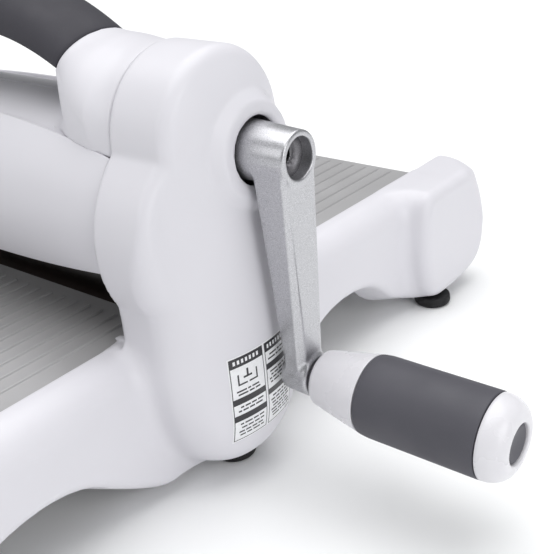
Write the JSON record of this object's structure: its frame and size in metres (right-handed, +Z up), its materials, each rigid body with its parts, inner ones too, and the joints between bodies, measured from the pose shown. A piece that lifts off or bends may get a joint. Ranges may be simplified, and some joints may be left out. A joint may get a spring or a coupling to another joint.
{
  "type": "die cutting machine",
  "caption": "Hand-cranked tabletop die cutting machine: two side columns with a roller press between them, ribbed platform, carrying handle and geared crank.",
  "frame": {"origin": "centre of the bottom of the whole object's box, crank included, on the surface that the feet rest on", "axes": "+X across the machine towards the crank, +Y along the feed direction towards the rear, +Z up"},
  "size_m": [0.3098, 0.38, 0.1717],
  "materials": {
    "white_plastic": "satin moulded plastic, very slightly lavender white",
    "dark_grip": "matt dark grey soft-touch moulding",
    "cast_silver": "die-cast arm with fine silver paint",
    "steel": "turned steel",
    "bed_grey": "light grey ribbed plate, satin",
    "black_rubber": "black rubber",
    "bronze": "sintered bronze",
    "gear_nylon": "natural nylon"
  },
  "bodies": {
    "base": {"right_side_housing": "white_plastic", "left_side_housing": "white_plastic", "right_inner_cover": "white_plastic", "left_inner_cover": "white_plastic", "right_bearing_plate": "steel", "left_bearing_plate": "steel", "right_upper_roller_bush": "bronze", "left_upper_roller_bush": "bronze", "right_lower_roller_bush": "bronze", "left_lower_roller_bush": "bronze", "crank_bush": "bronze", "upper_front_tie_rod": "steel", "upper_rear_tie_rod": "steel", "lower_front_tie_rod": "steel", "lower_rear_tie_rod": "steel", "right_upper_front_nut": "steel", "right_upper_rear_nut": "steel", "right_lower_front_nut": "steel", "right_lower_rear_nut": "steel", "left_upper_front_nut": "steel", "left_upper_rear_nut": "steel", "left_lower_front_nut": "steel", "left_lower_rear_nut": "steel", "platform_bed": "bed_grey", "front_end_rail": "white_plastic", "rear_end_rail": "white_plastic", "front_hood": "white_plastic", "rear_hood": "white_plastic", "front_top_cover": "white_plastic", "rear_top_cover": "white_plastic", "handle_grip": "dark_grip", "handle_core": "steel", "right_handle_sleeve": "white_plastic", "left_handle_sleeve": "white_plastic", "right_front_foot": "black_rubber", "right_centre_foot": "black_rubber", "right_rear_foot": "black_rubber", "left_front_foot": "black_rubber", "left_centre_foot": "black_rubber", "left_rear_foot": "black_rubber", "right_front_foot_screw": "steel", "right_centre_foot_screw": "steel", "right_rear_foot_screw": "steel", "left_front_foot_screw": "steel", "left_centre_foot_screw": "steel", "left_rear_foot_screw": "steel"},
    "crank": {"crank_arm": "cast_silver", "crank_shaft": "steel", "crank_screw": "steel", "crank_pinion": "steel", "knob_spindle": "steel", "knob_washer": "black_rubber"},
    "knob": {"knob_collar": "white_plastic", "knob_grip": "dark_grip", "knob_end_cap": "white_plastic", "knob_button": "dark_grip"},
    "upper_roller_body": {"upper_roller": "steel", "upper_roller_gear": "gear_nylon"},
    "lower_roller_body": {"lower_roller": "steel", "lower_roller_gear": "gear_nylon"}
  },
  "joints": [
    {"name": "crank_spin", "type": "hinge", "parent": "base", "child": "crank", "pos_m": [0.07433, 0.0055, 0.1216], "axis": [1, 0, 0], "continuous": true},
    {"name": "knob_spin", "type": "hinge", "parent": "crank", "child": "knob", "pos_m": [0.11633, 0.0115, 0.041], "axis": [1, 0, 0], "continuous": true},
    {"name": "upper_roller_spin", "type": "hinge", "parent": "base", "child": "upper_roller_body", "pos_m": [-0.04367, 0, 0.08845], "axis": [1, 0, 0], "continuous": true},
    {"name": "lower_roller_spin", "type": "hinge", "parent": "base", "child": "lower_roller_body", "pos_m": [-0.04367, 0, 0.04645], "axis": [1, 0, 0], "continuous": true}
  ],
  "couplings": [
    {"joint": "upper_roller_spin", "follows": "crank_spin", "ratio": -0.6},
    {"joint": "lower_roller_spin", "follows": "crank_spin", "ratio": 0.6}
  ]
}
